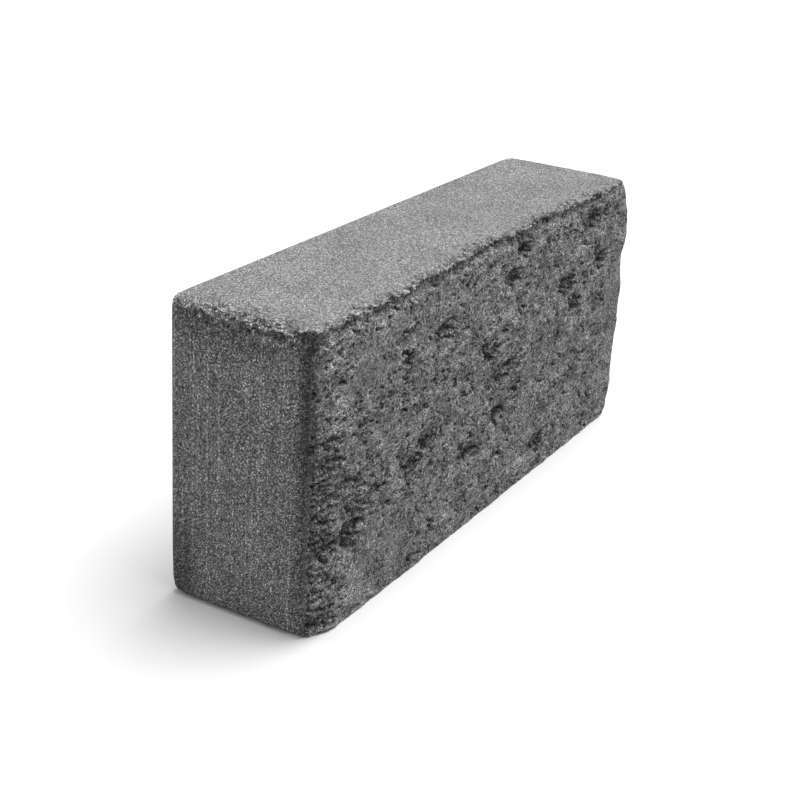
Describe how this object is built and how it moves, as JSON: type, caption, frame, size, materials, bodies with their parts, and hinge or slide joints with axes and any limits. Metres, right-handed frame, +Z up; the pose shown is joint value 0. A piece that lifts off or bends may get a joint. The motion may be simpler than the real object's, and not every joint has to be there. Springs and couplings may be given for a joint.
{
  "type": "split-face concrete block",
  "caption": "Solid cast concrete walling block with flat moulded beds, ends and back, and one long face split to a rough stony fracture.",
  "frame": {"origin": "middle of the bottom bed face, at the centre of the bounding box", "axes": "+X along the length, -Y out of the split face, +Y out of the moulded back, +Z up to the top bed face"},
  "size_m": [0.4, 0.1, 0.18],
  "materials": {
    "concrete": "matt grey dense concrete, fine grained, moulded on five sides and split on one"
  },
  "bodies": {
    "root": {"split_face_block": "concrete"}
  },
  "joints": []
}
